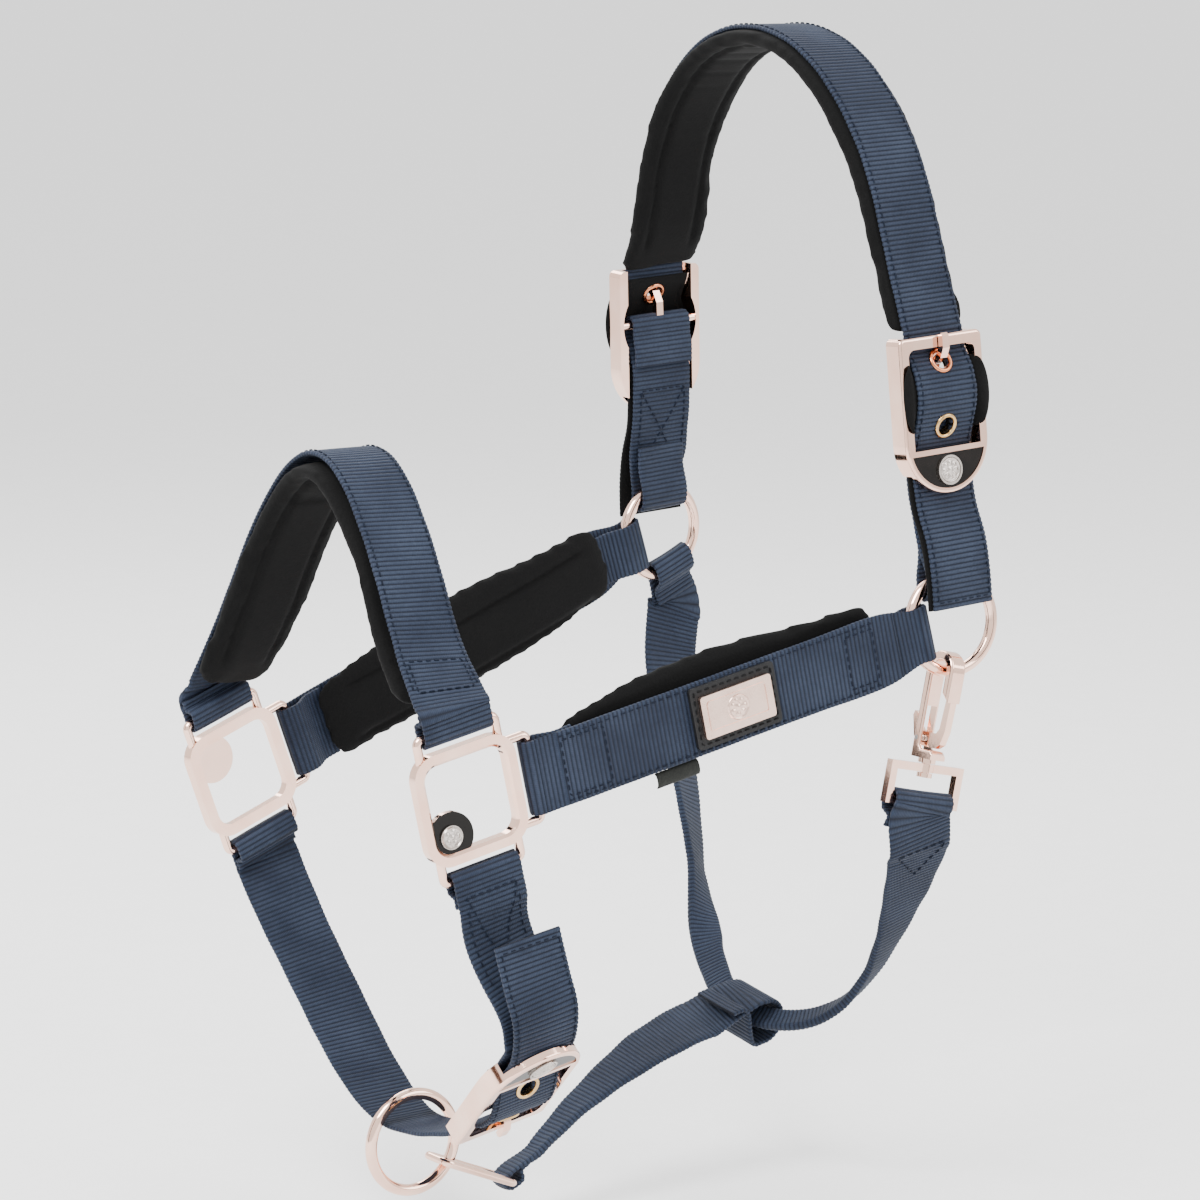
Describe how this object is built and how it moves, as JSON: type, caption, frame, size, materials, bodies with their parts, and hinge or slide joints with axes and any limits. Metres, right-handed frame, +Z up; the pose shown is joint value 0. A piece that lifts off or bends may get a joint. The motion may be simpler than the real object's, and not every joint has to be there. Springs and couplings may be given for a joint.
{
  "type": "horse head collar",
  "caption": "Padded webbing head collar for a horse with adjustable crown and chin buckles, square cheek rings, a lead ring and a quick-release throat snap.",
  "frame": {"origin": "middle of the crown lining, the point that rests on the horse's poll", "axes": "+Z up, -X towards the nose, -Y the horse's near (left) side"},
  "size_m": [0.2298, 0.182, 0.392],
  "materials": {
    "webbing": "ribbed navy webbing",
    "padding": "matt black foam-backed cloth",
    "lining": "matt black cloth lining",
    "rose_gold": "polished rose gold plating",
    "eyelet": "polished copper-coloured eyelet",
    "enamel": "gloss black enamel",
    "emblem": "polished relief",
    "patch": "stitched black synthetic leather",
    "plate": "polished rose gold plate",
    "label": "woven black label",
    "steel": "spring steel"
  },
  "bodies": {
    "root": {"near_square_ring": "rose_gold", "near_corner_badge": "enamel", "near_badge_emblem": "emblem", "near_crown_buckle_frame": "rose_gold", "near_crown_pivot_bar": "rose_gold", "near_crown_enamel_plate": "enamel", "near_crown_medallion": "emblem", "near_cheek_webbing": "webbing", "near_cheek_pad": "padding", "far_square_ring": "rose_gold", "far_corner_badge": "enamel", "far_badge_emblem": "emblem", "far_crown_buckle_frame": "rose_gold", "far_crown_pivot_bar": "rose_gold", "far_crown_enamel_plate": "enamel", "far_crown_medallion": "emblem", "far_cheek_webbing": "webbing", "far_cheek_pad": "padding", "chin_buckle_frame": "rose_gold", "chin_pivot_bar": "rose_gold", "chin_enamel_plate": "enamel", "chin_medallion": "emblem", "crown_webbing": "webbing", "crown_pad": "padding", "near_tail_lining": "lining", "near_crown_eyelets": "eyelet", "near_lower_cheek_strap": "webbing", "far_tail_lining": "lining", "far_crown_eyelets": "eyelet", "far_lower_cheek_strap": "webbing", "nose_webbing": "webbing", "nose_pad": "padding", "near_chin_strap": "webbing", "far_chin_strap": "webbing", "chin_eyelets": "eyelet", "throat_strap": "webbing", "jaw_strap": "webbing", "snap_strap_eye": "rose_gold", "name_patch": "patch", "name_plate": "plate", "size_label": "label"},
    "near_crown_tongue_body": {"near_crown_tongue": "rose_gold"},
    "far_crown_tongue_body": {"far_crown_tongue": "rose_gold"},
    "chin_tongue_body": {"chin_tongue": "rose_gold"},
    "near_ring_body": {"near_cheek_ring": "rose_gold"},
    "far_ring_body": {"far_cheek_ring": "rose_gold"},
    "lead_ring_body": {"lead_ring": "rose_gold"},
    "link_body": {"jaw_link": "rose_gold"},
    "hook_body": {"snap_hook_body": "rose_gold", "snap_trigger_pin": "steel"},
    "trigger_body": {"snap_trigger": "rose_gold", "snap_trigger_spring": "steel"}
  },
  "joints": [
    {"name": "near_crown_tongue_tilt", "type": "hinge", "parent": "root", "child": "near_crown_tongue_body", "pos_m": [0.0074, -0.079, -0.11266], "axis": [0.9982, 0, 0.0599], "range_deg": [0, 3]},
    {"name": "far_crown_tongue_tilt", "type": "hinge", "parent": "root", "child": "far_crown_tongue_body", "pos_m": [0.0074, 0.079, -0.10096], "axis": [-0.9982, 0, -0.0599], "range_deg": [0, 3]},
    {"name": "chin_tongue_tilt", "type": "hinge", "parent": "root", "child": "chin_tongue_body", "pos_m": [-0.149, -0.058, -0.331], "axis": [-0.9828, 0.0131, -0.1841], "range_deg": [0, 3]},
    {"name": "near_ring_turn", "type": "hinge", "parent": "root", "child": "near_ring_body", "pos_m": [0.012, -0.0834, -0.1894], "axis": [-0.0783, -0.9955, 0.0524], "continuous": true},
    {"name": "far_ring_turn", "type": "hinge", "parent": "root", "child": "far_ring_body", "pos_m": [0.012, 0.0834, -0.1777], "axis": [-0.0854, 0.995, 0.052], "continuous": true},
    {"name": "lead_ring_turn", "type": "hinge", "parent": "root", "child": "lead_ring_body", "pos_m": [-0.1496, 0, -0.362], "axis": [0, 1, 0], "continuous": true},
    {"name": "link_swing", "type": "hinge", "parent": "root", "child": "link_body", "pos_m": [-0.113, -0.001, -0.381], "axis": [0, 1, 0], "range_deg": [-6, 8]},
    {"name": "hook_swivel", "type": "hinge", "parent": "root", "child": "hook_body", "pos_m": [0.00305, -0.0822, -0.23704], "axis": [0.217, 0, 0.9762], "range_deg": [-9, 8]},
    {"name": "trigger_pull", "type": "hinge", "parent": "hook_body", "child": "trigger_body", "pos_m": [0.00488, -0.0784, -0.22884], "axis": [-0.9762, 0, 0.217], "range_deg": [0, 15], "stiffness_Nm_per_rad": 0.02}
  ]
}
